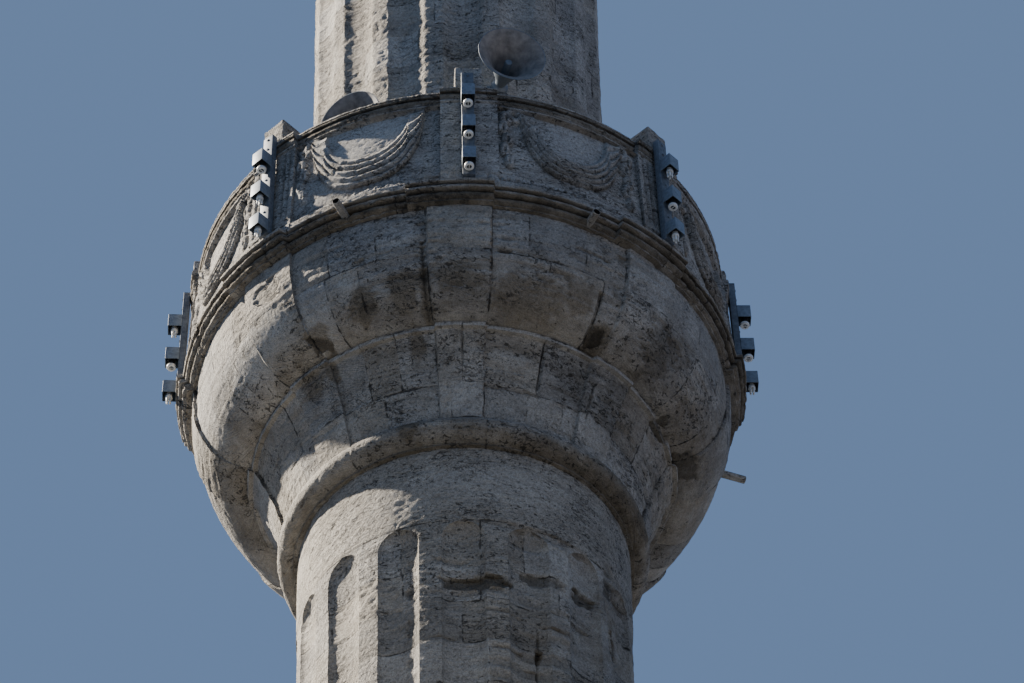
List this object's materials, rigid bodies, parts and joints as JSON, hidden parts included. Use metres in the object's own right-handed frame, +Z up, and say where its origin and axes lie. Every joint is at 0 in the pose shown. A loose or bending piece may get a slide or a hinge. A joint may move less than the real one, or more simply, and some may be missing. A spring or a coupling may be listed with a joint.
{
  "type": "minaret balcony section",
  "caption": "Gallery section of a fluted stone minaret: shaft stubs above and below a ring moulding, corbelled bowl, cornice and parapet with swags, lamps and horns.",
  "frame": {"origin": "centre of the lower bed face, on the shaft's axis", "axes": "+Z up the shaft's axis, -Y the front, where one of the bowl's eight ribs stands, with the parapet's posts 2.4 degrees further round; the doorway is at the back, +Y"},
  "size_m": [4.4192, 4.4146, 9.6],
  "materials": {
    "limestone": "weathered, pitted, matt",
    "rack_metal": "satin grey-blue sheet",
    "horn_metal": "satin grey"
  },
  "bodies": {
    "root": {"lower_shaft_front": "limestone", "lower_shaft_right": "limestone", "lower_shaft_back": "limestone", "lower_shaft_left": "limestone", "ring_moulding": "limestone", "bowl_front": "limestone", "bowl_right": "limestone", "bowl_back": "limestone", "bowl_left": "limestone", "gallery_floor_front": "limestone", "gallery_floor_right": "limestone", "gallery_floor_back": "limestone", "gallery_floor_left": "limestone", "parapet_post_1": "limestone", "parapet_post_2": "limestone", "parapet_post_3": "limestone", "parapet_post_4": "limestone", "parapet_post_5": "limestone", "parapet_post_6": "limestone", "parapet_post_7": "limestone", "parapet_post_8": "limestone", "parapet_panel_1": "limestone", "parapet_panel_2": "limestone", "parapet_panel_3": "limestone", "parapet_panel_4": "limestone", "parapet_panel_5": "limestone", "parapet_panel_6": "limestone", "parapet_panel_7": "limestone", "parapet_panel_8": "limestone", "lamp_rack_1": "rack_metal", "lamp_rack_2": "rack_metal", "lamp_rack_3": "rack_metal", "lamp_rack_4": "rack_metal", "lamp_rack_5": "rack_metal", "lamp_rack_6": "rack_metal", "lamp_rack_7": "rack_metal", "lamp_rack_8": "rack_metal", "upper_shaft_front": "limestone", "upper_shaft_right": "limestone", "upper_shaft_left": "limestone", "upper_shaft_over_doorway": "limestone", "doorway_jamb_right": "limestone", "doorway_jamb_left": "limestone", "horn_right": "horn_metal", "horn_left": "horn_metal"}
  },
  "joints": []
}
